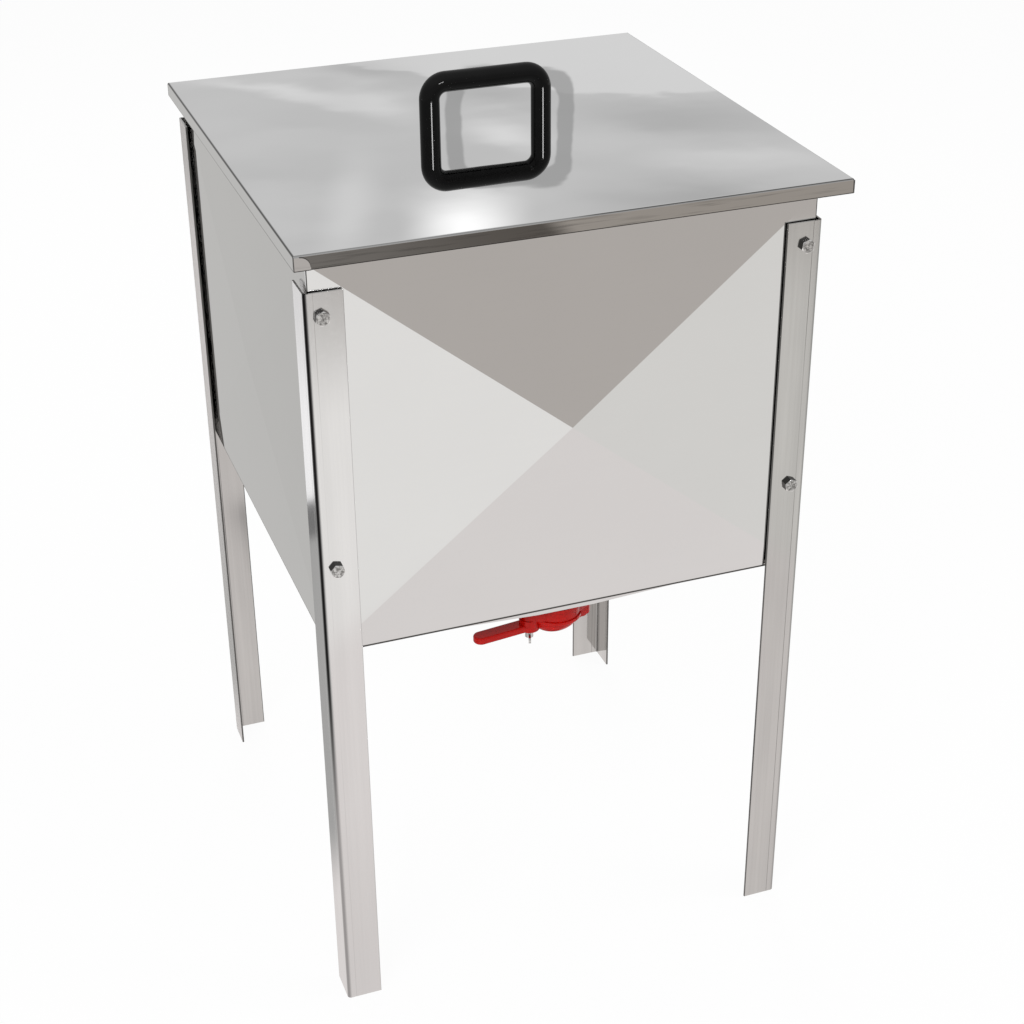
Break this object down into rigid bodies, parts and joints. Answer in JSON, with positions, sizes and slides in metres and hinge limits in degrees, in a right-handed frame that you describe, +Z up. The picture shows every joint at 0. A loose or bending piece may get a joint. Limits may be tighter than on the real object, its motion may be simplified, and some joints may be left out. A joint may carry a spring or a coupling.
{
  "type": "uncapping tray",
  "caption": "Sheet steel uncapping tank on angle legs, with a lift-off lid, an inner strainer, a frame rest and a swinging honey gate under the outlet.",
  "frame": {"origin": "on the ground, under the middle of the lid; the tank's own middle is 10.4 mm to the left of it", "axes": "+X to the right as seen from the gate's side, +Y to the back, +Z up"},
  "size_m": [0.561, 0.5628, 0.945],
  "materials": {
    "tank_steel": "bright cold-rolled sheet, near mirror",
    "lid_steel": "polished sheet with a soft waviness",
    "leg_steel": "satin, grained along the leg",
    "fastener_steel": "bright machined",
    "inner_steel": "satin",
    "handle_black": "glossy black",
    "gate_red": "glossy moulded red",
    "seal_white": "matt",
    "rubber_black": "matt"
  },
  "bodies": {
    "tank": {"front_wall": "tank_steel", "back_wall": "tank_steel", "left_wall": "tank_steel", "right_wall": "tank_steel", "tank_floor": "tank_steel", "leg_front_left": "leg_steel", "leg_front_right": "leg_steel", "leg_back_left": "leg_steel", "leg_back_right": "leg_steel", "leg_bolts": "fastener_steel", "leg_spacers": "rubber_black", "leg_washers": "fastener_steel", "leg_nuts": "fastener_steel", "strainer_rails": "inner_steel", "frame_rest_saddles": "inner_steel", "gate_body": "gate_red", "gate_gasket": "rubber_black", "gate_lock_nut": "gate_red", "gate_seal": "seal_white", "gate_pivot_bolt": "gate_red", "gate_pivot_nut": "gate_red"},
    "lid": {"lid_pan": "lid_steel", "lid_handle": "handle_black", "lid_handle_screws": "fastener_steel", "lid_handle_washers": "fastener_steel"},
    "strainer": {"strainer_frame": "inner_steel", "strainer_floor": "inner_steel", "strainer_bows": "inner_steel"},
    "frame_rest": {"frame_rest_bar": "inner_steel", "frame_rest_spike": "inner_steel", "frame_rest_spike_nut": "fastener_steel"},
    "gate_blade": {"gate_blade": "gate_red"},
    "wing_screw": {"gate_wing_screw": "fastener_steel"}
  },
  "joints": [
    {"name": "lid_lift", "type": "slide", "parent": "tank", "child": "lid", "axis": [0, 0, 1], "range_m": [0, 0.3]},
    {"name": "strainer_lift", "type": "slide", "parent": "tank", "child": "strainer", "axis": [0, 0, 1], "range_m": [0, 0.2]},
    {"name": "frame_rest_lift", "type": "slide", "parent": "tank", "child": "frame_rest", "axis": [0, 0, 1], "range_m": [0, 0.018]},
    {"name": "gate_swing", "type": "hinge", "parent": "tank", "child": "gate_blade", "pos_m": [0.02037, -0.22622, 0.41885], "axis": [0, 0, 1], "range_deg": [0, 115]},
    {"name": "wing_turn", "type": "hinge", "parent": "tank", "child": "wing_screw", "pos_m": [-0.04117, -0.23378, 0.4], "axis": [0, 0, 1], "continuous": true}
  ]
}
